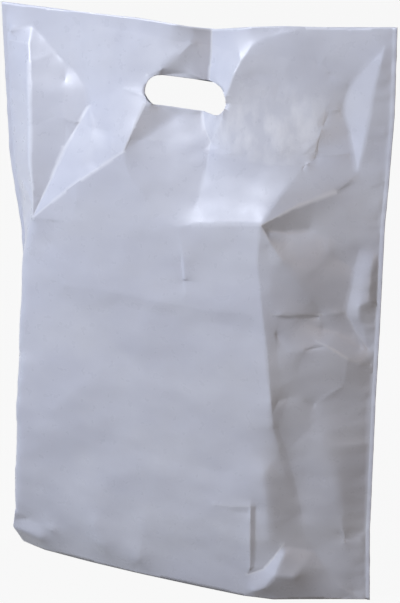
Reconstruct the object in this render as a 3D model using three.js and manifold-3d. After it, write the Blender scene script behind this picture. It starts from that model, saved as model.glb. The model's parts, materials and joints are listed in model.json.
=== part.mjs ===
// A plastic carrier bag of thin film, standing open on its bottom gusset, with a hand slot
// punched through both walls and a reinforcing patch glued inside each wall at the slot.
// Millimetres, +Z up, the front wall towards -Y, the origin on the floor under the middle.
import * as THREE from 'three';
import { mergeVertices } from 'three/addons/utils/BufferGeometryUtils.js';
import Module from 'manifold-3d';

// Driving sizes of the standing bag
const width = 368;              // between the two side welds, at the mouth
const height = 524;             // floor to the corners of the mouth
const puff = 45;                // how far a wall stands out from the plane of the welds
const film = 1;                 // thickness of a wall
const weldFin = 4;              // strip of doubled film outside each side weld

// Hand slot, an oblong with round ends
const slotWidth = 79;
const slotHeight = 26;
const slotBelowCorners = 67;    // middle of the slot, down from the corners of the mouth
const slotOffset = 6;           // middle of the slot, right of the middle of the bag
const slotTilt = 5;             // degrees that the slot hangs down towards the right
const backSlotLeft = 14.5;      // the slot of the back wall, left of the front wall's
const backSlotDrop = 6.5;       // and below it
const backSlotTurn = 1.5;       // and this much more tilted, in degrees
const backSlotSlack = 5;        // and this much longer and taller, where the film has stretched
const slotSplit = 7;            // the walls pass the slot in front of this plane and behind it
const frontSlot = { left: 0, drop: 0, turn: 0 };
const backSlot = { left: backSlotLeft, drop: backSlotDrop, turn: backSlotTurn };

// Reinforcing patches, one inside each wall, middle on the slot
const patchWidth = 248;
const patchHeight = 88;
const patchCorner = 14;
const patchFilm = 1;
const glueGap = 0.3;

// Bottom gusset, opened flat in the middle and still tucked up between the walls at each end
const tuckHeight = 62;          // top of the tuck, up the side weld
const tuckRun = 82;             // length of the tuck, in from the weld corner
const tuckTip = 10;             // closed film left between the tuck and the weld

// How far each weld is from the middle: share of the height, share of half the width at the mouth
const leftWeld = [
  [0, 98], [13, 97], [25, 94], [38, 92], [50, 91.5], [60, 92.5], [68, 96], [73, 98], [86, 99], [100, 100],
];
const rightWeld = [
  [0, 95], [13, 94], [25, 94.5], [38, 95], [50, 96], [60, 96.5], [68, 97], [73, 98], [86, 100], [100, 100],
];

// Spacing of the points that are put in along a fold, so that the facets keep to it
const foldStep = 16;

// The front wall. Each point is a share, in percent: across from the middle to the weld, up
// from the floor to the mouth, and out from the plane of the welds to the full puff. The mouth
// and the foot run from weld to weld, and each fold is a crease of the film, or a single point.
const front = {
  mouth: [[-100, 100, 0], [-63, 99.5, 14], [-24.5, 99.2, 28], [-3, 98.7, 40], [5, 98.3, 32],
    [12.3, 97.9, 12], [34, 99, 33], [50, 99.4, 25], [70, 99.5, 13], [100, 100, 0]],
  foot: [[-100, 0, 0], [-96, 0, 35], [-80, 0, 56], [-50, 0, 70], [-20, 0, 79], [15, 0, 84], [40, 0, 86],
    [56, 0, 77], [72, 0, 48], [88, 0, 20], [100, 0, 0]],
  folds: [
    // small pocket in the top left corner
    [[-96, 95.3, 12], [-84.5, 96.3, 10], [-84.5, 93.5, 26], [-97, 93.5, 7]],
    // sharp ridge down the left side, to the corner of the filled part
    [[-84.5, 93.5, 26], [-83, 90.5, 38], [-81, 84, 58], [-79.5, 75.5, 78], [-78, 69, 90],
      [-79.5, 64.3, 96]],
    // valley beside it
    [[-84.5, 96.3, 10], [-70.5, 92, 17], [-59.5, 89.5, 22], [-50.5, 83.7, 38], [-62, 76.5, 60],
      [-68.5, 71.3, 74], [-79.5, 64.3, 96]],
    // ridge from the corner of the filled part up to the left end of the slot
    [[-79.5, 64.3, 96], [-67, 67.5, 96], [-49, 72, 94], [-38.5, 74.5, 91], [-25.5, 77.5, 88],
      [-21.3, 81.5, 76], [-16.7, 85.5, 61], [-17.5, 90, 48]],
    // film left of the slot, the crease above the slot, and the hollow below it
    [[-39, 92, 31]],
    [[-17.5, 90, 48], [-9, 91.5, 49], [-2, 93.5, 43], [4, 96, 33]],
    [[-25.5, 77.5, 88], [-18, 79.5, 70], [-10, 81.7, 51], [-3, 83.6, 36]],
    [[-25.5, 77.5, 88], [-21.5, 73, 94], [-14, 70.5, 96]],
    // long valley from the mouth, through the slot, to the top of the filled part
    [[12.3, 97.9, 12], [12.2, 94.5, 13], [11.5, 89.5, 15], [10, 84, 31], [16, 79.5, 47], [15, 75, 63],
      [13, 70.5, 81], [12, 66.5, 99]],
    // ridge to the right of it, that turns away below the mouth
    [[16, 79.5, 47], [23, 84, 60], [28, 91.5, 56], [35, 96, 41], [43, 97.5, 34], [54, 98.5, 27]],
    // film right of the slot, where the slope ends
    [[36, 91.5, 45], [50, 91, 33], [64, 90.8, 22]],
    [[72, 86, 17]], [[70, 95, 14]],
    // lower edge and right end of the patch, which show through
    [[16, 79.5, 47], [29, 78.5, 65], [40, 79.5, 62], [62.2, 78.7, 46], [68.9, 81.6, 31], [67.4, 84.2, 30]],
    // slope down to the filled part
    [[62.2, 78.7, 46], [56.2, 72.8, 77], [48.7, 67.8, 104]],
    [[29, 72.5, 81]],
    // upper edge of the filled part
    [[-79.5, 64.3, 96], [-33.5, 65, 100], [12, 66.5, 99], [48.7, 67.8, 104]],
    // pleat from its right corner towards the weld
    [[48.7, 67.8, 104], [63.2, 70.8, 70], [79.1, 73.1, 34], [87.5, 76.2, 15], [86.3, 74.2, 18],
      [98, 74, 2]],
    // facet above the end of the pleat, between a valley and a ridge
    [[87.5, 76.2, 15], [81.8, 82.3, 4], [77.3, 86.4, 6], [85.8, 92.5, 4], [97, 97, 2]],
    [[87.5, 76.2, 15], [90.6, 83.2, 13], [92.9, 89.8, 10], [97, 97, 2]],
    // dimple right of the corner, and hollow under the pleat
    [[48.7, 67.8, 104], [59.4, 66.3, 70], [68.9, 66.6, 50]],
    [[77, 65.5, 38], [86, 63.5, 22], [97, 69, 5]],
    // lighter facet below the corner, down to a ledge
    [[48.7, 67.8, 104], [58.8, 61.7, 83], [65, 58.1, 69], [75.7, 52.3, 42]],
    [[54.3, 52.5, 91], [64, 52.4, 65], [75.7, 52.3, 42]],
    // upright edge down the right of the filled part
    [[48.7, 67.8, 104], [47, 61.5, 104], [49.5, 55, 104], [53, 46.5, 104], [56, 37.2, 104]],
    [[53.7, 58, 93], [54.3, 52.5, 91], [60, 40, 90]],
    // bulge beside the right weld
    [[91, 63.5, 13], [88, 56.5, 16], [86, 52.5, 22], [97, 46, 4]],
    [[97.5, 60, 13], [97, 54.8, 18], [93, 54, 23], [94.5, 50, 14]],
    // ridge that runs out to the weld below it, and the hollow above that
    [[57, 49, 90], [63.8, 46.3, 83], [74.8, 47.8, 58], [83.5, 46.2, 45], [89.3, 44.7, 33], [98, 43.5, 6]],
    [[83.3, 48.8, 32]],
    // hollow and slack film in the lower right
    [[67, 42, 68]], [[88, 40, 25]],
    [[56, 37.2, 104], [63, 37.8, 80], [74.6, 36.6, 54], [86, 31, 33]],
    [[56, 37.2, 104], [58.7, 28, 84], [62.4, 23, 73], [66.7, 16, 58], [75.6, 9.3, 44]],
    [[59.4, 32.5, 80], [66.9, 22, 57], [70.5, 16, 47]],
    [[52, 25, 103], [53, 18, 97], [55, 12, 92]],
    [[74.6, 36.6, 54], [82.3, 29, 49], [89.2, 19.6, 38], [91.2, 8.2, 22], [94.1, 1.7, 11]],
    // folds over the right foot
    [[43, 4.5, 92], [52, 6, 88], [61.6, 10.7, 79], [75.6, 9.3, 44]],
    [[48, 2, 96], [58.7, 5.4, 91], [67.8, 4.9, 68], [75.6, 9.3, 44], [87.7, 2.4, 25]],
    // rounded left side, pinched above the left foot
    [[-79.5, 64.3, 96], [-91, 56, 84], [-94, 43.5, 91], [-95, 30, 96], [-94.5, 16.5, 93], [-95, 8, 80],
      [-98, 3.5, 62]],
    [[-88, 6.5, 72], [-71, 5.5, 86]],
    // broad face of the filled part
    [[-62.5, 53, 102], [-10, 52.6, 104], [44, 52.3, 104]],
    [[-31.5, 40, 102]], [[17, 36, 104]], [[-41, 22, 103]], [[20, 30, 104]], [[-12, 15.5, 101]],
  ],
};

// The back wall, in the same shares
const back = {
  mouth: [[-100, 100, 0], [-63, 98.5, 6], [-24.5, 98, 5], [12, 97.5, 20], [40, 98, 4], [70, 99, 7],
    [100, 100, 0]],
  foot: [[-100, 0, 0], [-96, 0, 38], [-80, 0, 62], [-30, 0, 80], [15, 0, 82], [53, 0, 66], [79, 0, 28],
    [100, 0, 0]],
  folds: [
    // pleats from the mouth and the slot down to the corners of the filled part
    [[-82, 90, 9], [-71.5, 79, 42], [-85, 67, 72]],
    [[-53.5, 89, 8], [-49, 77, 36], [-52, 65, 90]],
    [[-20.5, 88, 4], [-20.5, 79, 30], [-6, 66, 92]],
    [[12, 94, 22], [12, 88, 24], [8, 78, 38], [-6, 66, 92]],
    [[42, 88, 4], [36, 78, 32], [44, 65, 92]],
    [[74, 89, 10], [56, 76, 48], [44, 65, 92]],
    [[76, 79, 32], [72, 67, 66]],
    // upper edge of the filled part
    [[-85, 67, 72], [-52, 65, 90], [-6, 66, 92], [44, 65, 92], [72, 67, 66]],
    // upright edges of the filled part
    [[-52, 65, 90], [-61.5, 48, 92], [-56, 24, 94], [-62, 7, 88]],
    [[44, 65, 92], [48, 47, 92], [52, 24, 94], [46, 7, 90]],
    // rounded left side, and the slack film of the right side
    [[-85, 67, 72], [-95.5, 46, 70], [-94.5, 25, 76], [-93, 9, 66], [-96, 0, 38]],
    [[72, 67, 66], [78, 50, 62], [82, 28, 64], [74, 10, 70], [79, 0, 28]],
    [[88, 40, 34], [90, 13, 36]],
    [[-4, 44, 104]], [[2, 26, 100]], [[-8, 9, 94]],
  ],
};

const filmPlastic = new THREE.MeshStandardMaterial({
  name: 'milky polyethylene film', color: 0xc3c6d4, roughness: 0.34, metalness: 0,
});
const patchPlastic = new THREE.MeshStandardMaterial({
  name: 'milky polyethylene patch', color: 0xcfd2de, roughness: 0.42, metalness: 0,
});

// Sizes of the bodies that cut, well past the bag, and the roundness of cut corners
const far = 4 * puff;
const farTriangle = 1000 * height;
const aboveMouth = 102;         // top of the room inside, as a share of the height
const arcSegments = 10;
const samePoint = 1e-4;

const wasm = await Module();
wasm.setup();

// A closed geometry as a solid for joining and cutting
function solid(geometry) {
  const bare = geometry.index ? geometry.toNonIndexed() : geometry.clone();
  bare.deleteAttribute('normal');
  bare.deleteAttribute('uv');
  const merged = mergeVertices(bare, samePoint);
  return new wasm.Manifold(new wasm.Mesh({
    numProp: 3,
    vertProperties: new Float32Array(merged.attributes.position.array),
    triVerts: new Uint32Array(merged.index.array),
  }));
}

// A solid as a named mesh
function mesh(name, body, material) {
  const result = body.getMesh();
  const geometry = new THREE.BufferGeometry();
  const positions = new Float32Array(result.vertProperties);
  geometry.setAttribute('position', new THREE.BufferAttribute(positions, 3));
  geometry.setIndex(new THREE.BufferAttribute(new Uint32Array(result.triVerts), 1));
  const piece = new THREE.Mesh(geometry, material);
  piece.name = name;
  return piece;
}

// The value of a line of [place, value] points at a place
function along(line, at) {
  const found = line.findIndex(([place]) => place >= at);
  const next = found < 0 ? line.length - 1 : Math.max(found, 1);
  const [[from, low], [to, high]] = [line[next - 1], line[next]];
  return THREE.MathUtils.mapLinear(at, from, to, low, high);
}

// How far the left (-1) or right (1) weld is from the middle, at a share of the height
function weldAt(up, side) {
  return width / 2 * along(side < 0 ? leftWeld : rightWeld, up) / 100;
}

// A fold point in millimetres: x and y on the film laid flat, and where it stands on the bag,
// moved outwards across by fin
function place([across, up, out], fin = 0) {
  return {
    x: across / 100 * width / 2 + fin,
    y: up / 100 * height,
    standing: [across / 100 * weldAt(up, across) + fin, out / 100 * puff, up / 100 * height],
  };
}

// Whether point p lies inside the circle through the corners of a triangle
function insideCircle(a, b, c, p) {
  const [ax, ay, bx, by, cx, cy] = [a.x - p.x, a.y - p.y, b.x - p.x, b.y - p.y, c.x - p.x, c.y - p.y];
  const turn = (bx - ax) * (cy - ay) - (by - ay) * (cx - ax);
  const inside = (ax * ax + ay * ay) * (bx * cy - cx * by)
    - (bx * bx + by * by) * (ax * cy - cx * ay)
    + (cx * cx + cy * cy) * (ax * by - bx * ay);
  return turn > 0 ? inside > 0 : inside < 0;
}

// Facets between fold points of the film laid flat: each new point replaces the triangles
// whose circle it falls in (Bowyer and Watson's method)
function facets(points) {
  const outside = [[-1, -1], [1, -1], [0, 1]].map(([x, y]) => ({ x: x * farTriangle, y: y * farTriangle }));
  const corners = [...points, ...outside];
  let triangles = [[points.length, points.length + 1, points.length + 2]];
  points.forEach((point, index) => {
    const edges = new Map();
    const kept = [];
    for (const triangle of triangles) {
      if (!insideCircle(...triangle.map((corner) => corners[corner]), point)) {
        kept.push(triangle);
        continue;
      }
      triangle.forEach((from, side) => {
        const to = triangle[(side + 1) % 3];
        if (!edges.delete(`${to} ${from}`)) edges.set(`${from} ${to}`, [from, to]);
      });
    }
    triangles = [...kept, ...[...edges.values()].map(([from, to]) => [from, to, index])];
  });
  return triangles.filter((triangle) => triangle.every((corner) => corner < points.length));
}

// A crease with points put in between its own, a step apart or closer
function creased(line) {
  const ends = line.map((share) => place(share));
  return line.flatMap((share, index) => {
    if (index === line.length - 1) return [share];
    const run = Math.hypot(ends[index + 1].x - ends[index].x, ends[index + 1].y - ends[index].y);
    const parts = Math.ceil(run / foldStep);
    return Array.from({ length: parts }, (_, part) => (
      share.map((value, axis) => THREE.MathUtils.lerp(value, line[index + 1][axis], part / parts))));
  });
}

// The points of one wall, the mouth's first. The outer skin has the fin outside each weld, and
// the room inside runs out past the mouth instead.
function wallPoints(wall, isSkin) {
  const welds = [-100, 100].flatMap((across) => creased([[across, 0, 0], [across, 100, 0]]));
  const mouth = creased(wall.mouth);
  const shares = [...mouth, ...creased(wall.foot), ...welds, ...wall.folds.flatMap(creased)];
  const points = shares.map((share) => place(share));
  const extra = isSkin
    ? welds.map((share) => place(share, Math.sign(share[0]) * weldFin))
    : mouth.map(([across, , out]) => place([across, aboveMouth, out]));
  const seen = new Set();
  return [...points, ...extra].filter(({ x, y }) => {
    const key = `${x.toFixed(2)} ${y.toFixed(2)}`;
    return !seen.has(key) && seen.add(key);
  });
}

// Everything behind one wall, its face pushed out by grow, as a closed solid
function behind(wall, side, grow, isSkin) {
  const points = wallPoints(wall, isSkin);
  const mouthCount = creased(wall.mouth).length;
  const onRim = (index) => isSkin && (index < mouthCount || points[index].y === height);
  const triangles = facets(points).filter((triangle) => !triangle.every(onRim));
  const face = points.map(({ standing: [x, out, z] }) => [x, side * (out + grow), z]);
  const rear = points.map(({ standing: [x, , z] }) => [x, -side * far, z]);
  const rim = new Map();
  const positions = [];
  const add = (...corners) => {
    const order = side < 0 ? corners : corners.reverse();
    order.forEach((corner) => positions.push(...corner));
  };
  for (const [a, b, c] of triangles) {
    add(face[a], face[b], face[c]);
    add(rear[a], rear[c], rear[b]);
    for (const [from, to] of [[a, b], [b, c], [c, a]]) {
      if (!rim.delete(`${to} ${from}`)) rim.set(`${from} ${to}`, [from, to]);
    }
  }
  for (const [from, to] of rim.values()) {
    add(face[to], face[from], rear[from]);
    add(face[to], rear[from], rear[to]);
  }
  const geometry = new THREE.BufferGeometry();
  geometry.setAttribute('position', new THREE.Float32BufferAttribute(positions, 3));
  return solid(geometry);
}

// An outline drawn in the plane of the welds, cut along Y through both walls
function throughBoth(shape, centreX, centreZ, tilt) {
  const options = { depth: 2 * far, bevelEnabled: false, curveSegments: arcSegments };
  const geometry = new THREE.ExtrudeGeometry(shape, options);
  geometry.translate(0, 0, -far);
  geometry.rotateX(Math.PI / 2);
  geometry.rotateY(THREE.MathUtils.degToRad(tilt));
  geometry.translate(centreX, 0, centreZ);
  return solid(geometry);
}

// A rectangle with round corners about the middle
function roundedOutline(outlineWidth, outlineHeight, corner) {
  const [x, y] = [outlineWidth / 2, outlineHeight / 2];
  const shape = new THREE.Shape();
  shape.absarc(x - corner, y - corner, corner, 0, Math.PI / 2);
  shape.absarc(corner - x, y - corner, corner, Math.PI / 2, Math.PI);
  shape.absarc(corner - x, corner - y, corner, Math.PI, 1.5 * Math.PI);
  shape.absarc(x - corner, corner - y, corner, 1.5 * Math.PI, 2 * Math.PI);
  shape.closePath();
  return shape;
}

// Half the depth of the base at the inner end of a tuck, the narrower of the two walls
function baseHalfDepth(end) {
  const inner = end * (1 - tuckRun / weldAt(0, end)) * 100;
  const outs = [front, back].map((wall) => along(wall.foot.map(([across, , out]) => [across, out]), inner));
  return Math.min(...outs) / 100 * puff;
}

// The hollow under one end of the base, where the gusset is still tucked up: a wedge with its
// broad end inwards, a point at the weld corner, and a roof that rises to the weld. Its faces
// move out by grow, and its slanted ends by more, so that the film over it keeps its thickness.
function tuck(end, grow) {
  const tip = weldAt(0, end) - tuckTip + 3 * grow;
  const inner = weldAt(0, end) - tuckRun - 2 * grow;
  const halfDepth = baseHalfDepth(end) - film + grow;
  const roof = tuckHeight + 1.5 * grow;
  const floor = -film - grow;
  const corners = [[inner, -halfDepth, floor], [inner, halfDepth, floor], [tip, 0, floor],
    [inner, -halfDepth, 0], [inner, halfDepth, 0], [tip, 0, roof]];
  const sides = [[0, 1, 2], [3, 5, 4], [0, 3, 4], [0, 4, 1], [0, 2, 5], [0, 5, 3], [1, 4, 5], [1, 5, 2]];
  const positions = sides.flatMap((side) => {
    const order = end > 0 ? side : [...side].reverse();
    return order.flatMap((corner) => [end * corners[corner][0], corners[corner][1], corners[corner][2]]);
  });
  const geometry = new THREE.BufferGeometry();
  geometry.setAttribute('position', new THREE.Float32BufferAttribute(positions, 3));
  return solid(geometry);
}

// The room inside the bag: between the walls, above the film of the base and its tucks
function inside() {
  const slab = new THREE.BoxGeometry(2 * width, 2 * far, film);
  slab.translate(0, 0, film / 2);
  return behind(front, -1, 0, false)
    .intersect(behind(back, 1, 0, false))
    .subtract(solid(slab))
    .subtract(tuck(1, film))
    .subtract(tuck(-1, film));
}

// An outline through both walls, where the slot of a wall is
function atSlot(outline, { left, drop, turn }) {
  return throughBoth(outline, slotOffset - left, height - slotBelowCorners - drop, slotTilt + turn);
}

// The space in front of (-1) or behind (1) a plane between the two walls at the slot
function towards(side) {
  const block = new THREE.BoxGeometry(2 * width, far, 3 * height);
  block.translate(0, side * far / 2 - slotSplit, 0);
  return solid(block);
}

// The hand slot of one wall, this much longer and taller than it was punched
function slotOutline(slack) {
  const [long, tall] = [slotWidth + slack, slotHeight + slack];
  return roundedOutline(long, tall, tall / 2);
}

const patchOutline = roundedOutline(patchWidth, patchHeight, patchCorner);
const frontCut = atSlot(slotOutline(0), frontSlot).intersect(towards(-1));
const backCut = atSlot(slotOutline(backSlotSlack), backSlot).intersect(towards(1));

function bagBody() {
  const outer = behind(front, -1, film, true).intersect(behind(back, 1, film, true));
  return outer
    .subtract(inside())
    .subtract(tuck(1, 0))
    .subtract(tuck(-1, 0))
    .subtract(frontCut)
    .subtract(backCut);
}

// A patch follows the inside of its wall, a line of glue away from it
function patchBody(wall, side, cut, at) {
  return behind(wall, side, -glueGap, true)
    .subtract(behind(wall, side, -glueGap - patchFilm, true))
    .intersect(atSlot(patchOutline, at))
    .subtract(cut);
}

const group = new THREE.Group();
group.add(mesh('bag', bagBody(), filmPlastic));
group.add(mesh('front_patch', patchBody(front, -1, frontCut, frontSlot), patchPlastic));
group.add(mesh('back_patch', patchBody(back, 1, backCut, backSlot), patchPlastic));

export default group;
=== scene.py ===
# %% [markdown]
# A plastic carrier bag, made as thin film. The measured bag is loaded first. It is a plain solid
# with the right size, mouth, slot and base, and everything below is sized from it.

# %% Load the measured bag
import json
import math

import bmesh
import bpy
import numpy as np
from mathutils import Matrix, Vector, noise
from mathutils.geometry import delaunay_2d_cdt

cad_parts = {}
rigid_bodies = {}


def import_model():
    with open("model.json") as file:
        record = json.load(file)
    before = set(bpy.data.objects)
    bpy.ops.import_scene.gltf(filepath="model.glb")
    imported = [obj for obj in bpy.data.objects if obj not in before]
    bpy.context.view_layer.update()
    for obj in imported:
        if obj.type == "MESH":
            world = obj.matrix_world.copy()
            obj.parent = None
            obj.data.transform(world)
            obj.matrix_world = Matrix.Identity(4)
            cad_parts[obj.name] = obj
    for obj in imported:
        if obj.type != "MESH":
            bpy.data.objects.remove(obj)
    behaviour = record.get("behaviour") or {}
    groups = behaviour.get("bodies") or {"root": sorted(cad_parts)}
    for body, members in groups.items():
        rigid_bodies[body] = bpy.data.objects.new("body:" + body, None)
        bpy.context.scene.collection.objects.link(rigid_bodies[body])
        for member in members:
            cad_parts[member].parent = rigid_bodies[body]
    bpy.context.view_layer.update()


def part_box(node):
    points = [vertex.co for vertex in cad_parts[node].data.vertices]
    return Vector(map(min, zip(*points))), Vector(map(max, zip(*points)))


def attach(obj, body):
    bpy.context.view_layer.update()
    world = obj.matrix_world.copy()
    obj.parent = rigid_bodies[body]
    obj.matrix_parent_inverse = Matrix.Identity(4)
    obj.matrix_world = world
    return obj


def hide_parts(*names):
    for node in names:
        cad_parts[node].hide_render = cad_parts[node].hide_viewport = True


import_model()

MM = 0.001

# %% [markdown]
# The real bag is a flat tube of film, welded down both sides. The strip outside each weld is a
# fin of two films, and between the welds the two walls are free to stand apart. A place on a
# wall is given by three shares, in percent: across from the middle to the weld, up from the
# floor to the mouth, and out from the plane of the welds to the full puff of the wall.

# %% Sizes of the standing bag
bag_low, bag_high = (Vector(corner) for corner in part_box("bag"))
SOLID_WALL = 1.0 * MM
FULLEST = 1.04
FIN = 4.0 * MM
HALF_WIDTH = (bag_high.x - bag_low.x) / 2 - FIN
HEIGHT = bag_high.z - bag_low.z
PUFF = ((bag_high.y - bag_low.y) / 2 - SOLID_WALL) / FULLEST
FILM = 0.2 * MM           # real film is 0.055 mm, too thin to shade cleanly
FIN_HALF_GAP = 0.3 * MM   # from the plane of the welds to the outside of one film

WELD_LEVELS = (0, 13, 25, 38, 50, 60, 68, 73, 86, 100)
LEFT_WELD = (98, 97, 94, 92, 91.5, 92.5, 96, 98, 99, 100)
RIGHT_WELD = (95, 94, 94.5, 95, 96, 96.5, 97, 98, 100, 100)

SLOT = {"width": 79 * MM, "height": 26 * MM, "middle": (6 * MM, HEIGHT - 67 * MM), "tilt": 5}
PATCH = {"width": 248 * MM, "height": 88 * MM, "corner": 14 * MM}
BACK_SLOT = {"shift": (-14.5 * MM, -6 * MM), "turn": 1, "slack": 5 * MM}   # the back hangs askew
print(f"between the welds {2000 * HALF_WIDTH:.0f} mm, height {1000 * HEIGHT:.0f} mm, "
      f"puff {1000 * PUFF:.0f} mm")


def weld_at(up, side):
    """How far the left (-1) or right (1) weld is from the middle, at a share of the height."""
    left = np.interp(up, WELD_LEVELS, LEFT_WELD)
    right = np.interp(up, WELD_LEVELS, RIGHT_WELD)
    return HALF_WIDTH * np.where(side < 0, left, right) / 100


# %% [markdown]
# Film doesn't stretch much, so it shows its shape in creases: it runs taut from one to the next.
# Each wall is therefore drawn as its creases. Each has a sharpness, from 0, where the film only
# turns softly, to 1, where it is folded, and then its points. These are the creases that show on
# the bag: the long valley through the slot, the pleats that run from the corners of the filled
# part, the upright edge down its right side, and the slack film over the right foot.

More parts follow.
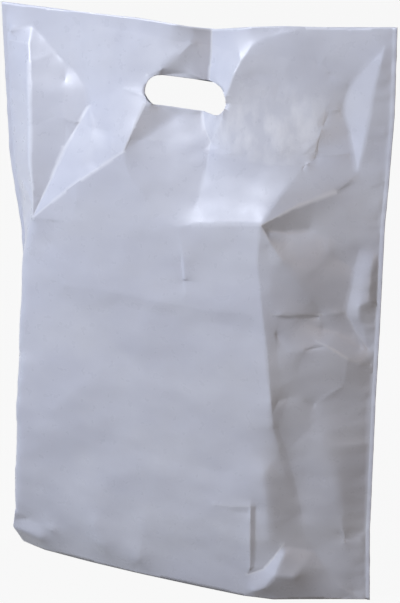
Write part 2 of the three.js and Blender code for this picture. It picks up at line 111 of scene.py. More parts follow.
# %% Creases of the front wall
FRONT = {
    "mouth": [(-100, 100, 0), (-63, 99.5, 14), (-24.5, 99.2, 28), (-3, 98.7, 40), (5, 98.3, 32),
              (12.3, 97.9, 12), (34, 99, 33), (50, 99.4, 25), (70, 99.5, 13), (100, 100, 0)],
    "foot": [(-100, 0, 0), (-96.5, 0, 35), (-80.5, 0, 56), (-50.5, 0, 70), (-20, 0, 79), (15, 0, 84),
             (40, 0, 86), (56, 0, 77), (72, 0, 48), (88, 0, 20), (100, 0, 0)],
    "creases": [
        # small pocket in the top left corner
        (0.8, (-99, 95, 0), (-96, 95.3, 12), (-84.5, 96.3, 10)),
        (0.8, (-84.5, 96.3, 10), (-84.5, 93.5, 26)),
        (0.8, (-84.5, 93.5, 26), (-98, 93.5, 6)),
        # sharp ridge down the left side, to the corner of the filled part
        (0.9, (-84.5, 93.5, 26), (-83, 90.5, 38), (-81, 84, 58), (-79.5, 75.5, 78), (-78, 69, 90),
         (-79.5, 64.3, 96)),
        # valley beside it
        (0.7, (-84.5, 96.3, 10), (-76.5, 94, 14), (-70.5, 92, 17), (-59.5, 89.5, 22), (-53.5, 87, 29),
         (-50.5, 83.7, 38)),
        (0.9, (-50.5, 83.7, 38), (-55, 81, 46), (-62, 76.5, 60), (-68.5, 71.3, 74), (-79.5, 64.3, 96)),
        # ridge from the corner of the filled part up to the left end of the slot
        (0.9, (-79.5, 64.3, 96), (-67, 67.5, 96), (-49, 72, 94), (-38.5, 74.5, 91), (-25.5, 77.5, 88)),
        (0.9, (-25.5, 77.5, 88), (-21.3, 81.5, 76), (-16.7, 85.5, 61), (-17.5, 90, 48)),
        # dark wedge below the slot, and where the slope turns beside it
        (0.2, (-25.5, 77.5, 88), (-18, 79.5, 70), (-10, 81.7, 51), (-3, 83.6, 36)),
        (0.5, (-25.5, 77.5, 88), (-24.5, 75.5, 91), (-21.5, 73, 94), (-14, 70.5, 96)),
        # short ridge on the slope
        (0.6, (-52, 71, 95), (-51.5, 68.5, 98), (-54, 66, 98)),
        (0.0, (-47.5, 68.5, 95)),
        # film left of the slot, and the edge of the dark film above the slot
        (0.0, (-39, 92, 31)),
        (0.1, (-17.5, 90, 48), (-9, 91.5, 49), (-2, 93.5, 43), (4, 96, 33)),
        (0.1, (3, 90.6, 31), (7, 93.5, 25)),
        # long valley from the mouth, through the slot, to the top of the filled part
        (0.9, (12.3, 97.9, 12), (12.2, 94.5, 13), (11.5, 89.5, 15), (10, 84, 31), (12.3, 81.6, 41),
         (16, 79.5, 47)),
        (0.6, (16, 79.5, 47), (15, 75, 63), (13, 70.5, 81), (12, 66.5, 99)),
        # ridge to the right of it, that turns away below the mouth
        (0.8, (16, 79.5, 47), (23, 84, 60), (25, 88, 61), (28, 91.5, 56), (31, 93.5, 50), (35, 96, 41)),
        (0.5, (35, 96, 41), (43, 97.5, 34), (54, 98.5, 27)),
        # film right of the slot, where the slope ends
        (0.2, (36, 91.5, 45), (50, 91, 33), (64, 90.8, 22)),
        (0.0, (72, 86, 17)),
        (0.0, (70, 95, 14)),
        # lower edge and right end of the patch, which show through
        (0.3, (16, 79.5, 47), (22, 79, 57), (29, 78.5, 65), (40, 79.5, 62), (52.4, 79.4, 57),
         (62.2, 78.7, 46)),
        (0.8, (62.2, 78.7, 46), (67.9, 79.6, 37), (68.9, 81.6, 33), (67.4, 84.2, 30)),
        # slope down to the filled part
        (0.5, (62.2, 78.7, 46), (63.2, 76.7, 51), (56.2, 72.8, 77), (48.7, 67.8, 104)),
        (0.0, (20, 72.5, 79), (32, 72.5, 85), (44, 72.6, 85.5)),
        # upper edge of the filled part
        (0.2, (-79.5, 64.3, 96), (-33.5, 65, 100), (-10, 65.5, 100), (12, 66.5, 99)),
        (0.8, (12, 66.5, 99), (48.7, 67.8, 104)),
        # pleat from its right corner towards the weld
        (0.9, (48.7, 67.8, 104), (63.2, 70.8, 70), (79.1, 73.1, 34)),
        (0.6, (79.1, 73.1, 34), (87.5, 76.2, 15)),
        (0.5, (87.5, 76.2, 15), (86.3, 74.2, 18), (93.2, 73.8, 9), (99, 74, 1)),
        # facet above the end of the pleat, between a valley and a ridge
        (0.7, (87.5, 76.2, 15), (81.8, 82.3, 4), (77.3, 86.4, 6), (80.7, 90.4, 4), (85.8, 92.5, 4),
         (97, 97, 2)),
        (0.7, (87.5, 76.2, 15), (90.6, 83.2, 13), (92.9, 89.8, 10), (95.4, 93.9, 7), (97, 97, 2)),
        # dimple right of the corner, and hollow under the pleat
        (0.6, (48.7, 67.8, 104), (52, 66.6, 90), (59.4, 66.3, 70), (68.9, 66.6, 50)),
        (0.2, (77, 65.5, 38), (86, 63.5, 22), (97, 69, 5)),
        # lighter facet below the corner, down to a ledge
        (0.4, (48.7, 67.8, 104), (53.2, 64.9, 99), (59.6, 61.7, 90), (66, 58.1, 77), (72, 55, 61),
         (76, 52.3, 46)),
        (0.8, (54.3, 52.5, 97), (59.4, 52.5, 90), (66, 52.4, 75), (76, 52.3, 46)),
        (0.7, (58, 51.9, 90), (65, 51.8, 75), (74.5, 51.8, 48)),
        # upright edge down the right of the filled part, and the film beside it
        (0.7, (48.7, 67.8, 104), (47, 61.5, 104), (49.5, 55, 104), (53, 46.5, 104), (56, 37.2, 104)),
        (0.4, (52, 64, 98), (53.7, 58, 98), (54.3, 52.5, 97), (57.7, 46, 93), (60, 40, 91)),
        # bulge beside the right weld, and the pocket between them
        (0.6, (91, 63.5, 13), (89, 60, 14), (88, 56.5, 16), (86, 52.5, 22)),
        (0.8, (86, 52.5, 22), (90, 49.5, 15), (97, 46, 4)),
        (0.3, (98, 64, 3), (97, 60, 11), (97, 57, 13), (96.5, 54.8, 14), (93, 54, 21)),
        (0.5, (93, 54, 21), (92.5, 52, 19), (94.5, 50, 12), (97, 46, 4)),
        # ridge that runs out to the weld below it, and the hollow above that
        (0.8, (74.8, 47.8, 58), (79.6, 47, 52), (83.5, 46.2, 45), (89.3, 44.7, 33), (94.8, 43.7, 18),
         (99, 43.4, 2)),
        (0.5, (76, 49.8, 45), (83.3, 48.8, 32), (88.7, 47.6, 20), (94, 46.2, 9)),
        # curved edge over the hollow in the lower right
        (0.6, (57, 49, 90), (59.8, 47.4, 88), (63.8, 46.3, 83), (69.8, 46.3, 72), (74.8, 47.8, 58)),
        (0.0, (67, 42, 68)),
        (0.0, (88, 40, 25)),
        # top of the slack film in the lower right
        (0.7, (56, 37.2, 104), (59, 37.6, 91), (63, 37.8, 80), (70, 37.6, 66), (74.6, 36.6, 54)),
        # soft band down its left side, where the filled part turns in
        (0.3, (56, 37.2, 104), (56.5, 32.5, 96), (58.7, 28, 87), (62.4, 23, 77), (66.7, 16, 63),
         (75.6, 9.3, 44)),
        (0.2, (59.4, 32.5, 86), (62.8, 28, 76), (66.9, 22, 63), (70.5, 16, 53)),
        (0.1, (53, 25, 103), (55, 18, 97), (56, 12, 92)),
        # its crest, beside the weld
        (0.1, (74.6, 36.6, 54), (80, 31.6, 51), (82, 29, 49), (85.4, 25, 43), (88.6, 19.6, 35),
         (90.2, 13.3, 26), (91, 8.2, 20), (92.5, 4.5, 15), (94.1, 1.7, 9), (98.2, 0.4, 3)),
        (0.6, (87.6, 12.8, 27), (90.6, 11.4, 21), (96.7, 11.7, 7)),
        # folds over the right foot
        (0.9, (43, 4.5, 92), (52, 6, 88), (57.1, 8.3, 83), (61.6, 10.7, 79)),
        (0.7, (61.6, 10.7, 79), (69, 9.9, 60), (75.6, 9.3, 44)),
        (0.5, (62.6, 9, 85), (58.7, 5.4, 97), (53.3, 2.7, 98), (46, 1.6, 96)),
        (0.7, (58.7, 5.4, 97), (67.8, 4.9, 80), (75.6, 9.3, 44)),
        (0.7, (75.6, 9.3, 44), (81.9, 5.6, 34), (87.7, 2.4, 25), (93.3, 0.9, 13)),
        # short upright crease left of it
        (0.8, (25, 17, 103.5), (36, 17.2, 104), (45.7, 17.8, 104), (45.7, 11.5, 102.5), (44.8, 5.8, 96)),
        (0.6, (48, 17.4, 97), (48, 11.5, 96), (46.9, 6.2, 92)),
        (0.3, (36, 16.2, 101.5), (44.3, 16.4, 101)),
        (0.2, (38, 13, 100), (40.5, 8, 96)),
        # soft turn down the lower left, and a shallow dent right of it
        (0.4, (-6, 22.5, 103), (-12, 15.5, 101), (-16, 11, 99), (-20, 3, 94)),
        (0.1, (2, 12, 97), (25, 12, 97)),
        (0.1, (-45, 10, 99), (-40, 4, 94)),
        (0.3, (18, 23.5, 100), (32, 23.5, 99), (43, 24.5, 100.5)),
        (0.2, (15, 20.5, 102), (32, 20.8, 102), (46, 21.5, 101.5)),
        # rounded left side, pinched above the left foot
        (0.2, (-79.5, 64.3, 96), (-91, 56, 84), (-94, 43.5, 91), (-95, 30, 96), (-94.5, 16.5, 93)),
        (0.4, (-94.5, 16.5, 93), (-95, 8, 80), (-99, 3.5, 62), (-96.5, 0.5, 42)),
        (0.7, (-96, 5.6, 70), (-88, 6.5, 74), (-80, 6, 79), (-71, 5.5, 87)),
        (0.3, (-96, 3.6, 66), (-88, 3.6, 74), (-79, 3, 80)),
        (0.2, (-67, 64, 95), (-68, 60, 96), (-68, 56, 98)),
        # broad face of the filled part
        (0.1, (-60.5, 57, 99), (-21, 57, 101), (16, 56.5, 101.5), (42, 57, 102)),
        (0.6, (-62.5, 53, 102), (-40.5, 53.2, 103.5), (-10, 52.6, 104), (17, 52, 104), (44, 52.3, 104)),
        (0.3, (-36, 50.6, 101.5), (-10, 50, 101), (17, 49.4, 101), (44, 49.8, 101.5)),
        (0.4, (6, 65.5, 101), (8, 60, 104), (9, 54, 104.5)),
        (0.4, (6, 60.5, 100), (7, 56, 101)),
        (0.2, (15, 60.5, 99.5), (26, 62, 99), (38, 64.5, 100)),
        (0.2, (-17, 61.8, 99.5), (-4, 61.5, 99.5)),
        (0.6, (-70, 29.5, 102), (-60.5, 32.7, 103), (-50.5, 35.5, 103)),
        (0.0, (-31.5, 40, 102)),
        (0.0, (17, 36, 104)),
        (0.0, (-41, 22, 103)),
        (0.0, (20, 30, 104)),
    ],
}
print(len(FRONT["creases"]), "creases on the front wall")

# %% Creases of the back wall
BACK = {
    "mouth": [(-100, 100, 0), (-63, 98.5, 6), (-24.5, 98, 5), (12, 97.5, 20), (40, 98, 4), (70, 99, 7),
              (100, 100, 0)],
    "foot": [(-100, 0, 0), (-96.5, 0, 38), (-80.5, 0, 62), (-30, 0, 80), (15, 0, 82), (53, 0, 66),
             (79, 0, 28), (100, 0, 0)],
    "creases": [
        # pleats from the mouth and the slot down to the corners of the filled part
        (0.7, (-82, 90, 9), (-71.5, 79, 42), (-85, 67, 72)),
        (0.5, (-53.5, 89, 8), (-49, 77, 36), (-52, 65, 90)),
        (0.8, (-20.5, 88, 4), (-20.5, 79, 30), (-6, 66, 92)),
        (0.3, (12, 94, 22), (12, 88, 24), (8, 78, 38), (-6, 66, 92)),
        (0.8, (42, 88, 4), (36, 78, 32), (44, 65, 92)),
        (0.5, (74, 89, 10), (56, 76, 48), (44, 65, 92)),
        (0.5, (76, 79, 32), (72, 67, 66)),
        # upper edge of the filled part
        (0.4, (-85, 67, 72), (-52, 65, 90), (-6, 66, 92), (44, 65, 92), (72, 67, 66)),
        # upright edges of the filled part
        (0.3, (-52, 65, 90), (-61.5, 48, 92), (-56, 24, 94), (-62, 7, 88)),
        (0.3, (44, 65, 92), (48, 47, 92), (52, 24, 94), (46, 7, 90)),
        # rounded left side, and the slack film of the right side
        (0.3, (-85, 67, 72), (-95.5, 46, 70), (-94.5, 25, 76), (-93, 9, 66), (-96.5, 0.5, 38)),
        (0.6, (72, 67, 66), (78, 50, 62), (82, 28, 64), (74, 10, 70), (79, 0.5, 28)),
        (0.5, (88, 40, 34), (90, 13, 36)),
        (0.0, (-4, 44, 104)),
        (0.0, (2, 26, 100)),
        (0.0, (-8, 9, 94)),
    ],
}
print(len(BACK["creases"]), "creases on the back wall")

# %% [markdown]
# The creases are laid out on the flat film and the space between them is filled with triangles,
# whose edges keep to the creases. The slot and the outline of the patch are drawn in too, so
# that each ends on a clean edge. Points of an even mesh are added where the film is plain.

# %% Lay out one wall on the flat film
NET_STEP = 24 * MM
GRID_STEP = 32 * MM
SIDE_PARTS = 24
GRID_COLUMNS = 9            # to each side of the middle
GRID_EDGE = 8 * MM          # no grid points closer to a weld than this
FOOT_SHARES = [-100, *range(-96, 97, 8), 100]


def flat(share):
    """A share triple as a point of the flat film and how far it stands out."""
    across, up, out = share
    return across / 100 * HALF_WIDTH, up / 100 * HEIGHT, out / 100 * PUFF


def divided(run, parts):
    """A line with each of its stretches cut into equal parts."""
    line = [run[0]]
    for start, end in zip(run, run[1:]):
        for part in range(1, parts + 1):
            line.append(tuple(a + (b - a) * part / parts for a, b in zip(start, end)))
    return line


def stepped(run, step=NET_STEP):
    """A line with points put in between its own, a step apart or closer."""
    line = list(run[:1])
    for start, end in zip(run, run[1:]):
        parts = max(1, math.ceil(math.dist(start[:2], end[:2]) / step))
        line += divided([start, end], parts)[1:]
    return line


def rounded_outline(width, height, corner, middle, tilt):
    """A rectangle with round corners, turned by tilt degrees, as a closed line."""
    turn = math.radians(-tilt)
    line = []
    for quarter, (sx, sy) in enumerate(((1, 1), (-1, 1), (-1, -1), (1, -1))):
        for part in range(7):
            angle = math.radians(90 * quarter + 15 * part)
            x = sx * (width / 2 - corner) + corner * math.cos(angle)
            y = sy * (height / 2 - corner) + corner * math.sin(angle)
            line.append((middle[0] + x * math.cos(turn) - y * math.sin(turn),
                         middle[1] + x * math.sin(turn) + y * math.cos(turn)))
    return line + line[:1]


class Net:
    """Points and lines on the flat film. A line has a sharpness, and a point a depth or none."""

    def __init__(self):
        self.points, self.depths, self.lines, self.index = [], [], [], {}

    def point(self, x, y, depth=None):
        key = (round(x, 5), round(y, 5))
        if key not in self.index:
            self.index[key] = len(self.points)
            self.points.append((x, y))
            self.depths.append(depth)
        elif depth is not None:
            self.depths[self.index[key]] = depth
        return self.index[key]

    def line(self, run, sharpness):
        marks = [self.point(*corner) for corner in run]
        self.lines += [(a, b, sharpness) for a, b in zip(marks, marks[1:]) if a != b]


def in_outline(points, outline):
    """Which points lie inside a closed line."""
    inside = np.zeros(len(points), bool)
    for (x0, y0), (x1, y1) in zip(outline, outline[1:]):
        crosses = (y0 > points[:, 1]) != (y1 > points[:, 1])
        if y0 != y1:
            at = x0 + (points[:, 1] - y0) * (x1 - x0) / (y1 - y0)
            inside ^= crosses & (points[:, 0] < at)
    return inside


def draw_wall(wall, slot_line, patch_line, parts):
    """The creases, edges, slot and patch outline of one wall, ready to be filled."""
    net = Net()
    edge = HALF_WIDTH + FIN
    side_parts = SIDE_PARTS * parts
    shares, _, outs = zip(*wall["foot"])
    foot = [flat((share, 0, np.interp(share, shares, outs))) for share in FOOT_SHARES]
    for side in (-1, 1):
        for at in (HALF_WIDTH, edge):
            net.line(divided([(side * at, 0, 0), (side * at, HEIGHT, 0)], side_parts), 1)
        for level in (0, HEIGHT):
            net.line(divided([(side * HALF_WIDTH, level, 0), (side * edge, level, 0)], parts), 1)
    net.line(stepped([flat(share) for share in wall["mouth"]]), 1)
    net.line(divided(foot, parts), 1)
    for sharpness, *shares in wall["creases"]:
        run = stepped([flat(share) for share in shares])
        net.line(run, sharpness)
        net.point(*run[0])
    net.line(slot_line, None)
    net.line(patch_line, None)
    taken = np.array(net.points)
    rows = int(HEIGHT / GRID_STEP)
    for row in range(1, rows):
        for column in range(-GRID_COLUMNS, GRID_COLUMNS + 1):
            spot = np.array(((column + 0.5 * (row % 2)) * GRID_STEP * 0.9, row * HEIGHT / rows))
            away = np.hypot(*(taken - spot).T).min()
            inside = abs(spot[0]) < HALF_WIDTH - GRID_EDGE and spot[1] < 0.97 * HEIGHT
            if inside and away > 0.45 * GRID_STEP:
                net.point(*spot)
    return net


# %% [markdown]
# The film between creases is pulled taut, so it takes the shape of a soap film: each point comes
# to rest at the mean of its neighbours. It is worked out coarsely first, and again each time the
# triangles are split. Creases are held, and at the end a soft crease gives way a little.

# %% Fill a wall and pull it taut
MOST_SPLITS = 3
ROUNDS = (600, 200, 100, 60)   # of settling, for the coarse film and after each split
LEAST_HOLD = 1e-3              # of the softest crease
# creases sharper than this get a whiter line: stress whitening and a painted highlight
SHARP_ENOUGH = 0.75            # creases sharper than this whiten the film


def filled(net, slot_line):
    """Corners, triangles, depths and creases of a wall, without the slot."""
    corners = [Vector(point) for point in net.points]
    pairs = [(a, b) for a, b, _ in net.lines]
    verts, edges, faces, from_verts, from_edges, _ = delaunay_2d_cdt(corners, pairs, [], 1, 1e-6)
    spots = np.array([tuple(v) for v in verts])
    depth = np.full(len(verts), np.nan)
    hold = np.zeros(len(verts))
    for index, sources in enumerate(from_verts):
        known = [net.depths[s] for s in sources if s < len(net.depths) and net.depths[s] is not None]
        if known:
            depth[index] = known[0]
            hold[index] = LEAST_HOLD
    creases = {}
    for (a, b), sources in zip(edges, from_edges):
        for source in sources:
            if source >= len(net.lines) or net.lines[source][2] is None:
                continue
            start, end, sharpness = net.lines[source]
            creases[tuple(sorted((a, b)))] = sharpness
            p, q = np.array(net.points[start]), np.array(net.points[end])
            for corner in (a, b):
                share = float(np.dot(spots[corner] - p, q - p) / np.dot(q - p, q - p))
                depth[corner] = net.depths[start] + share * (net.depths[end] - net.depths[start])
                hold[corner] = max(hold[corner], sharpness, LEAST_HOLD)
    triangles = np.array(faces)
    middles = spots[triangles].mean(axis=1)
    triangles = triangles[~in_outline(middles, slot_line)]
    depth[np.isnan(depth)] = 0.5 * PUFF
    return spots, depth, hold, triangles, creases


def edges_of(triangles):
    """Each edge once, and for each triangle the numbers of its three edges."""
    pairs = np.concatenate([triangles[:, [0, 1]], triangles[:, [1, 2]], triangles[:, [2, 0]]])
    unique, inverse = np.unique(np.sort(pairs, axis=1), axis=0, return_inverse=True)
    return unique, inverse.reshape(3, -1).T


def edge_pulls(spots, triangles, edges, of_triangle):
    """How hard each edge pulls: the cotangents of the two angles that face it."""
    pull = np.zeros(len(edges))
    for facing, start, end in ((2, 0, 1), (0, 1, 2), (1, 2, 0)):
        p = spots[triangles[:, start]] - spots[triangles[:, facing]]
        q = spots[triangles[:, end]] - spots[triangles[:, facing]]
        area = np.abs(p[:, 0] * q[:, 1] - p[:, 1] * q[:, 0])
        cotangent = (p * q).sum(axis=1) / np.maximum(area, 1e-10)
        pull += np.bincount(of_triangle[:, start], cotangent, len(edges))
    return np.maximum(pull, 0.02)


def settle(depth, edges, weight, give, rounds):
    """Move each depth towards the mean of its neighbours, by its own share of the way."""
    a, b = edges.T
    total = np.bincount(a, weight, len(depth)) + np.bincount(b, weight, len(depth))
    for _ in range(rounds):
        pull = (np.bincount(a, weight * depth[b], len(depth))
                + np.bincount(b, weight * depth[a], len(depth)))
        depth = depth + give * (pull / np.maximum(total, 1e-9) - depth)
    return depth


def split(spots, depth, hold, triangles, creases):
    """Each triangle in four, with the creases carried over."""
    edges, of_triangle = edges_of(triangles)
    first = len(spots)
    middles = first + of_triangle
    on_crease = np.array([creases.get((a, b), -1.0) for a, b in edges.tolist()])
    spots = np.concatenate([spots, spots[edges].mean(axis=1)])
    depth = np.concatenate([depth, depth[edges].mean(axis=1)])
    hold = np.concatenate([hold, np.where(on_crease >= 0, np.maximum(on_crease, LEAST_HOLD), 0)])
    (a, b, c), (ab, bc, ca) = triangles.T, middles.T
    triangles = np.concatenate([np.stack(t, axis=1) for t in
                                ((a, ab, ca), (b, bc, ab), (c, ca, bc), (ab, bc, ca))])
    halves = {}
    for number in np.nonzero(on_crease >= 0)[0]:
        for end in edges[number]:
            halves[tuple(sorted((int(end), first + int(number))))] = float(on_crease[number])
    return spots, depth, hold, triangles, halves


def glued_share(spots, middle, patch_line):
    """Where the patch clings to the wall: all over faintly, and most right of the slot and below it."""
    x, z = spots.T
    spread = ((x - middle[0] - 75 * MM) / (62 * MM)) ** 2 + ((z - middle[1] + 21 * MM) / (30 * MM)) ** 2
    return in_outline(spots, patch_line) * (0.15 + 0.85 * np.exp(-spread ** 2))


def taut_wall(wall, splits, shift=(0, 0), turn=0, slack=0):
    """One wall of the bag on fine triangles: its flat places, depths, triangles and shares."""
    middle = (SLOT["middle"][0] + shift[0], SLOT["middle"][1] + shift[1])
    tilt = SLOT["tilt"] + turn
    width, height = SLOT["width"] + slack, SLOT["height"] + slack
    slot_line = rounded_outline(width, height, height / 2, middle, tilt)
    patch_line = rounded_outline(PATCH["width"], PATCH["height"], PATCH["corner"], middle, tilt)
    net = draw_wall(wall, slot_line, stepped(patch_line), 2 ** (MOST_SPLITS - splits))
    spots, depth, hold, triangles, creases = filled(net, slot_line)
    for level, rounds in enumerate(ROUNDS[:splits + 1]):
        if level:
            spots, depth, hold, triangles, creases = split(spots, depth, hold, triangles, creases)
        edges, of_triangle = edges_of(triangles)
        weight = edge_pulls(spots, triangles, edges, of_triangle)
        held = 0 if level < 2 else 0.05   # lone points only shape the coarse film
        depth = settle(depth, edges, weight, np.where(hold > held, 0.0, 0.9), rounds)
    depth = settle(depth, edges, weight, 0.6 * (1 - hold) ** 2, 10)
    edge = np.maximum(np.abs(spots[:, 0]) / HALF_WIDTH, np.abs(2 * spots[:, 1] / HEIGHT - 1))
    # a whiter line along sharp creases: stress whitening and a painted highlight
    crease_highlight_and_whitening = np.where(edge < 0.99, np.clip((hold - SHARP_ENOUGH) / 0.15, 0, 1), 0)
    print(f"wall: {len(spots)} points, {len(triangles)} triangles")
    return {"spots": spots, "depth": depth, "triangles": triangles, "patch": patch_line,
            "crease_highlight_and_whitening": crease_highlight_and_whitening, "glued": glued_share(spots, middle, patch_line)}


front = taut_wall(FRONT, MOST_SPLITS)
back = taut_wall(BACK, MOST_SPLITS - 1, **BACK_SLOT)

# %% [markdown]
# Standing up, the bag is narrower where it is full, and the film is never quite smooth. Handling
# leaves shallow dents a few centimetres across, and the weld shrinks as it cools, which gathers
# the film beside it into short puckers and crinkles the fin.

# %% Stand a wall up
DENT = {"wide": 0.055, "high": 0.040, "depth": 1.3 * MM}
SMALL_DENT = {"wide": 0.019, "high": 0.013, "depth": 0.35 * MM}
PUCKER = {"high": 0.009, "depth": 1.3 * MM, "reach": 9 * MM}
CRINKLE = {"high": 0.011, "depth": 0.9 * MM}


def bumps(x, z, wide, high, layer):
    """Noise over a wall, from -1 to 1, with bumps of the given width and height."""
    return np.array([noise.noise(Vector((px / wide, pz / high, layer))) for px, pz in zip(x, z)])


def standing(wall, side):
    """Where the points of one wall stand, as x, y and z."""
    x, z = wall["spots"].T
    up = z / HEIGHT * 100
    weld = weld_at(up, np.sign(x))
    beyond = np.maximum(np.abs(x) - HALF_WIDTH, 0)
    inward = np.maximum(HALF_WIDTH - np.abs(x), 0)
    across = np.sign(x) * (np.minimum(np.abs(x), HALF_WIDTH) * weld / HALF_WIDTH + beyond)
    fixed = np.minimum(inward / (12 * MM), 1) * np.minimum(z / (10 * MM), 1)
    dents = bumps(x, z, DENT["wide"], DENT["high"], 3.1 * side)
    small = bumps(x, z, SMALL_DENT["wide"], SMALL_DENT["high"], 7.7 * side)
    depth = wall["depth"] + fixed * (DENT["depth"] * dents + SMALL_DENT["depth"] * small)
    pucker = bumps(1.7 * side * np.sign(x), z, 1, PUCKER["high"], 0)
    gathered = np.exp(-inward / PUCKER["reach"]) * np.minimum(inward / (3 * MM), 1)
    depth = depth + pucker * PUCKER["depth"] * gathered
    crinkle = bumps(5 * np.sign(x), z, 1, CRINKLE["high"], 9)
    leaf = crinkle * CRINKLE["depth"] * beyond / FIN
    outside = FIN_HALF_GAP * np.minimum((HALF_WIDTH + FIN - np.abs(x)) / (0.5 * FIN), 1)
    return np.stack([across, side * (depth + outside) + leaf, z], axis=1)


front_points = standing(front, -1)
back_points = standing(back, 1)
print("front wall stands out", round(-1000 * front_points[:, 1].min(), 1), "mm")
print("back wall stands out", round(1000 * back_points[:, 1].max(), 1), "mm")

# %% [markdown]
# The bottom gusset is the same film, folded inwards. It is flat on the floor in the middle, and at
# each end it is still tucked up between the walls, as a roof that rises towards the weld. It is
# woven from the foot of the front wall to the foot of the back wall, a row of points at a time.

# %% Weave the gusset and join the film
TUCK_HEIGHT = 62 * MM
TUCK_RUN = 82 * MM
TUCK_TIP = 10 * MM


def foot_line(wall, points):
    """The points along the foot of a wall, from left to right."""
    low = np.nonzero(wall["spots"][:, 1] < 1e-6)[0]
    return points[low[np.argsort(wall["spots"][low, 0])]]


def gusset_rows(front_foot, back_foot):
    """Rows of the gusset from the front foot to the back foot, each as long as the foot."""
    x = front_foot[:, 0]
    inner = weld_at(0, 1) - TUCK_RUN
    tip = weld_at(0, 1) - TUCK_TIP
    half = min(np.interp(inner, x, -front_foot[:, 1]), np.interp(inner, x, back_foot[:, 1]))
    along = np.clip((np.abs(x) - inner) / (tip - inner), 0, 1)
    tucked = np.where(np.abs(x) < tip, along * TUCK_HEIGHT, 0)
    reach = (half - 1 * MM) * (1 - along)
    rows = []
    for side, foot in ((-1, front_foot), (1, back_foot)):
        inset = side * np.minimum(reach, np.abs(foot[:, 1]))
        rows.append([np.stack([x, foot[:, 1] + (inset - foot[:, 1]) * share, 0 * x], axis=1)
                     for share in (0.35, 0.7, 1.0)]
                    + [np.stack([x, inset, tucked * share], axis=1) for share in (0.33, 0.67, 1.0)]
                    + [np.stack([x, inset * share, tucked], axis=1) for share in (0.75, 0.5, 0.25)])
    middle = [np.stack([x, 0 * x, tucked], axis=1)]
    return rows[0] + middle + rows[1][::-1]


def bag_film():
    """The whole bag as one sheet of film: both walls and the gusset, joined along their edges."""
    front_foot, back_foot = foot_line(front, front_points), foot_line(back, back_points)
    rows = [front_foot, *gusset_rows(front_foot, back_foot), back_foot]
    count = len(front_foot)
    gusset = np.concatenate(rows)
    corners = np.concatenate([front_points, back_points, gusset])
    starts = len(front_points), len(front_points) + len(back_points)
    faces = [tuple(t) for t in front["triangles"].tolist()]
    faces += [(a + starts[0], b + starts[0], c + starts[0]) for a, b, c in back["triangles"].tolist()]
    for row in range(len(rows) - 1):
        for column in range(count - 1):
            corner = starts[1] + row * count + column
            faces.append((corner, corner + 1, corner + count + 1, corner + count))
    mesh = bpy.data.meshes.new("bag_film")
    mesh.from_pydata(corners.tolist(), [], faces)
    # the crease line carries a painted highlight along with the stress whitening
    for name in ("crease_highlight_and_whitening", "glued"):
        values = np.concatenate([front[name], back[name], np.zeros(len(gusset))])
        mesh.attributes.new(name, "FLOAT", "POINT").data.foreach_set("value", values)
    return mesh


for piece in bpy.data.objects:
    piece.select_set(False)
film_mesh = bag_film()
film_object = bpy.data.objects.new("bag_film", film_mesh)
bpy.context.scene.collection.objects.link(film_object)
work = bmesh.new()
work.from_mesh(film_mesh)
bmesh.ops.remove_doubles(work, verts=work.verts, dist=0.02 * MM)
bmesh.ops.dissolve_degenerate(work, edges=work.edges, dist=0.01 * MM)
bmesh.ops.recalc_face_normals(work, faces=work.faces)
loose = [edge for edge in work.edges if len(edge.link_faces) != 2]
print("film:", len(work.faces), "faces,", len(loose), "open edges, at the mouth and the slots")
work.to_mesh(film_mesh)
work.free()

# %% Give the film its thickness
bpy.context.view_layer.objects.active = film_object
film_object.select_set(True)
thickness = film_object.modifiers.new("thickness", "SOLIDIFY")
thickness.thickness = FILM
thickness.offset = -1
bpy.ops.object.modifier_apply(modifier=thickness.name)
bpy.ops.object.shade_smooth()
film_object.select_set(False)
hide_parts("bag")
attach(film_object, "root")
print("film with thickness:", len(film_object.data.polygons), "faces")

# %% [markdown]
# A patch is a second film glued inside each wall, so it is the same film again, a little further in.

# %% The two patches
GLUE_LINE = 0.35 * MM   # from the outside of the wall to the outside of its patch


def patch_piece(name, wall, points, side):
    """The part of a wall inside the patch outline, moved inwards by the wall and the glue."""
    middles = wall["spots"][wall["triangles"]].mean(axis=1)
    kept = wall["triangles"][in_outline(middles, wall["patch"])]
    used, renumbered = np.unique(kept, return_inverse=True)
    mesh = bpy.data.meshes.new(name)
    behind = points[used] - np.array([0, side * GLUE_LINE, 0])
    mesh.from_pydata(behind.tolist(), [], renumbered.reshape(-1, 3).tolist())
    piece = bpy.data.objects.new(name, mesh)
    bpy.context.scene.collection.objects.link(piece)
    shape = bmesh.new()
    shape.from_mesh(mesh)
    if side > 0:
        bmesh.ops.reverse_faces(shape, faces=shape.faces)
    shape.to_mesh(mesh)
    shape.free()
    piece.select_set(True)
    bpy.context.view_layer.objects.active = piece
    layer = piece.modifiers.new("thickness", "SOLIDIFY")
    layer.thickness = FILM
    layer.offset = -1
    bpy.ops.object.modifier_apply(modifier=layer.name)
    bpy.ops.object.shade_smooth()
    piece.select_set(False)
    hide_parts(name.replace("_film", ""))
    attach(piece, "root")
    print(name, len(piece.data.polygons), "faces")
    return piece


front_patch = patch_piece("front_patch_film", front, front_points, -1)
back_patch = patch_piece("back_patch_film", back, back_points, 1)

# %% [markdown]
# The bag is low density polyethylene with a little white pigment: milky, soft to the touch and
# half glossy. A blown film is never even, so its gloss and its tone drift over a few centimetres.
# Sharp creases are painted whiter: partly the stress whitening of the film, partly a painted
# highlight along the crease.

# %% Materials
# how far sharp creases are whitened: stress whitening and a painted highlight
CREASE_WHITENING_AND_HIGHLIGHT = 0.55
POLYETHYLENE_IOR = 1.51


def linear(hex_colour):
    """An sRGB hex colour as the linear values that a shader takes."""
    channels = (int(hex_colour[i:i + 2], 16) / 255 for i in (1, 3, 5))
    return (*((c / 12.92 if c <= 0.04045 else ((c + 0.055) / 1.055) ** 2.4) for c in channels), 1)


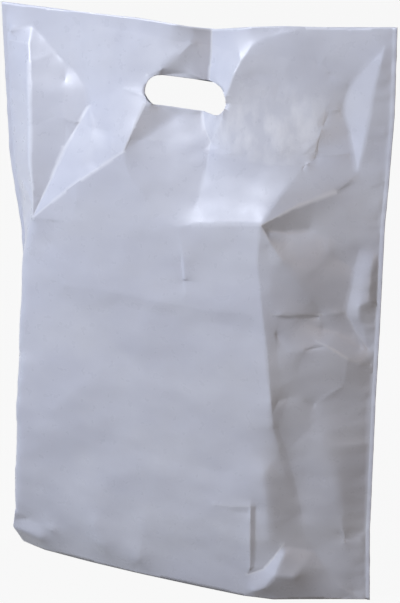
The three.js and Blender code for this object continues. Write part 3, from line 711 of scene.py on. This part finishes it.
def add_node(tree, kind, links=None, **settings):
    """Add a node, set its settings and sockets, and link its inputs to other nodes' outputs."""
    node = tree.nodes.new(kind)
    for name, value in settings.items():
        if hasattr(node, name):
            setattr(node, name, value)
        else:
            node.inputs[name.replace("_", " ")].default_value = value
    for name, output in (links or {}).items():
        tree.links.new(output, node.inputs[name])
    return node


def mapped_noise(tree, place, stretch, scale, detail):
    """Noise over the object's own metres, stretched by the given factors."""
    spread = add_node(tree, "ShaderNodeMapping", {"Vector": place}, Scale=stretch)
    return add_node(tree, "ShaderNodeTexNoise", {"Vector": spread.outputs[0]}, Scale=scale, Detail=detail)


def ranged(tree, value, low, high, start=0.35, end=0.65):
    """A texture value spread from low to high."""
    return add_node(tree, "ShaderNodeMapRange", {"Value": value}, To_Min=low, To_Max=high,
                    From_Min=start, From_Max=end).outputs["Result"]


def tinted(tree, factor, base, tint):
    """A colour, or another node's colour, blended towards a tint."""
    mix = add_node(tree, "ShaderNodeMix", {"Factor": factor}, data_type="RGBA")
    if isinstance(base, str):
        mix.inputs["A"].default_value = linear(base)
    else:
        tree.links.new(base, mix.inputs["A"])
    mix.inputs["B"].default_value = linear(tint)
    return mix.outputs["Result"]


def total(tree, first, second, weight):
    """One value plus a weighted second one."""
    node = add_node(tree, "ShaderNodeMath", {0: second, 2: first}, operation="MULTIPLY_ADD")
    node.inputs[1].default_value = weight
    return node.outputs[0]


def product(tree, first, second):
    """The product of two values."""
    return add_node(tree, "ShaderNodeMath", {0: first, 1: second}, operation="MULTIPLY").outputs[0]


def scaled(tree, value, factor):
    """A value times a number."""
    node = add_node(tree, "ShaderNodeMath", {0: value}, operation="MULTIPLY")
    node.inputs[1].default_value = factor
    return node.outputs[0]


def polyethylene_film(name, pale, deep, whiter_and_highlight_tint):
    """Milky LDPE film: half glossy, with drifting tone, shallow pocks, and sharp creases painted whiter,
    partly as stress whitening and partly as a painted highlight.
    """
    material = bpy.data.materials.new(name)
    material.use_nodes = True
    tree = material.node_tree
    tree.nodes.clear()
    place = add_node(tree, "ShaderNodeTexCoord").outputs["Object"]
    crease_highlight_and_whitening = add_node(tree, "ShaderNodeAttribute", attribute_name="crease_highlight_and_whitening").outputs["Fac"]
    glued = add_node(tree, "ShaderNodeAttribute", attribute_name="glued").outputs["Fac"]
    drift = mapped_noise(tree, place, (1, 1, 1.6), 13.0, 3.0).outputs["Fac"]
    glue = mapped_noise(tree, place, (1, 1, 0.5), 95.0, 3.0).outputs["Fac"]
    pocks = mapped_noise(tree, place, (1, 1, 1), 110.0, 2.0).outputs["Fac"]
    colour = tinted(tree, ranged(tree, drift, 0, 1), pale, deep)
    glue_share = product(tree, glued, ranged(tree, glue, 0.15, 0.75))
    colour = tinted(tree, glue_share, colour, whiter_and_highlight_tint)
    # sharp creases painted whiter: stress whitening and a painted highlight along the crease
    colour = tinted(tree, scaled(tree, crease_highlight_and_whitening, CREASE_WHITENING_AND_HIGHLIGHT), colour, whiter_and_highlight_tint)
    height = total(tree, pocks, product(tree, glued, glue), 2.5)
    bump = add_node(tree, "ShaderNodeBump", {"Height": height}, Strength=0.12, Distance=0.0006)
    shader = add_node(tree, "ShaderNodeBsdfPrincipled",
                      {"Base Color": colour, "Roughness": ranged(tree, pocks, 0.27, 0.38),
                       "Normal": bump.outputs["Normal"]}, IOR=POLYETHYLENE_IOR)
    add_node(tree, "ShaderNodeOutputMaterial", {"Surface": shader.outputs["BSDF"]})
    return material


film_material = polyethylene_film("milky_polyethylene_film", "#d3d6de", "#cbced8", "#eef0f4")
patch_material = polyethylene_film("milky_polyethylene_patch", "#d9dee5", "#d1d6de", "#eceff4")
film_object.data.materials.clear()
film_object.data.materials.append(film_material)
for piece in (front_patch, back_patch):
    piece.data.materials.clear()
    piece.data.materials.append(patch_material)

# %% [markdown]
# The bag stands on a white sweep under a large soft lamp on its left, so the film that leans back
# or faces left is bright, and the film that turns right falls into a warmer shade. A lamp behind
# the bag lights the back wall, which the camera doesn't see.

# %% Floor, lamps and world
FLOOR_WHITENESS = 0.93
bpy.ops.mesh.primitive_plane_add(size=12, location=(0, 0, -0.2 * MM))
floor = bpy.context.object
floor.name = "floor"
floor_material = bpy.data.materials.new("white_sweep")
floor_material.use_nodes = True
tree = floor_material.node_tree
tree.nodes.clear()
rays = add_node(tree, "ShaderNodeLightPath")
white = add_node(tree, "ShaderNodeEmission", Color=(1, 1, 1, 1), Strength=1.0)
paint = add_node(tree, "ShaderNodeBsdfDiffuse", Color=(0.15, 0.15, 0.15, 1))
blend = add_node(tree, "ShaderNodeMixShader", {1: paint.outputs[0], 2: white.outputs[0]})
seen = add_node(tree, "ShaderNodeMath",
                {0: rays.outputs["Is Camera Ray"], 1: rays.outputs["Is Glossy Ray"]},
                operation="MAXIMUM")
tree.links.new(scaled(tree, seen.outputs[0], FLOOR_WHITENESS), blend.inputs["Fac"])
add_node(tree, "ShaderNodeOutputMaterial", {"Surface": blend.outputs[0]})
floor.data.materials.append(floor_material)

world = bpy.data.worlds.new("studio")
bpy.context.scene.world = world
world.use_nodes = True
tree = world.node_tree
tree.nodes.clear()
rays = add_node(tree, "ShaderNodeLightPath")
room = add_node(tree, "ShaderNodeBackground", Color=linear("#fff2e6"), Strength=0.06)
backdrop = add_node(tree, "ShaderNodeBackground", Color=(1, 1, 1, 1), Strength=1.0)
direct = add_node(tree, "ShaderNodeMath",
                  {0: rays.outputs["Is Camera Ray"], 1: rays.outputs["Is Transmission Ray"]},
                  operation="MAXIMUM")
blend = add_node(tree, "ShaderNodeMixShader",
                 {"Fac": direct.outputs[0], 1: room.outputs[0], 2: backdrop.outputs[0]})
add_node(tree, "ShaderNodeOutputWorld", {"Surface": blend.outputs[0]})


def softbox(name, azimuth, elevation, distance, size, watts, colour):
    """An area lamp aimed at the middle of the bag. Azimuth 0 is in front, and positive is right."""
    a, e = math.radians(azimuth), math.radians(elevation)
    lamp = bpy.data.lights.new(name, "AREA")
    lamp.shape = "DISK"
    lamp.size = size
    lamp.energy = watts
    lamp.color = linear(colour)[:3]
    holder = bpy.data.objects.new(name, lamp)
    bpy.context.scene.collection.objects.link(holder)
    towards = Vector((math.sin(a) * math.cos(e), -math.cos(a) * math.cos(e), math.sin(e)))
    holder.location = Vector((0, 0, HEIGHT / 2)) + towards * distance
    holder.rotation_euler = towards.to_track_quat("Z", "Y").to_euler()
    return holder


softbox("key", azimuth=-34, elevation=40, distance=2.2, size=1.2, watts=50, colour="#ecf1ff")
softbox("window", azimuth=-65, elevation=10, distance=2.4, size=1.6, watts=3, colour="#b4c8ff")
softbox("warm_fill", azimuth=50, elevation=4, distance=2.4, size=1.6, watts=9, colour="#ffe6cc")
softbox("rear", azimuth=165, elevation=35, distance=2.4, size=1.4, watts=40, colour="#f4f4ff")

# %% [markdown]
# The camera looks slightly down at the bag from its right, from a little over a metre and a half.

# %% Camera
CAMERA_AZIMUTH = 24.0
CAMERA_PITCH = 17.2
CAMERA_DISTANCE = 1.678
AIM = Vector((0.009, 0, 0.264))
FOCAL_PIXELS = 1850
FRAME_HEIGHT_PIXELS = 603
a, e = math.radians(CAMERA_AZIMUTH), math.radians(CAMERA_PITCH)
back_from_aim = Vector((math.sin(a) * math.cos(e), -math.cos(a) * math.cos(e), math.sin(e)))
camera = bpy.data.objects.new("camera", bpy.data.cameras.new("camera"))
bpy.context.scene.collection.objects.link(camera)
camera.data.sensor_width = 36
camera.data.lens = FOCAL_PIXELS / FRAME_HEIGHT_PIXELS * camera.data.sensor_width
camera.location = AIM + back_from_aim * CAMERA_DISTANCE
camera.rotation_euler = back_from_aim.to_track_quat("Z", "Y").to_euler()
bpy.context.scene.camera = camera
bpy.context.scene.view_settings.view_transform = "Standard"
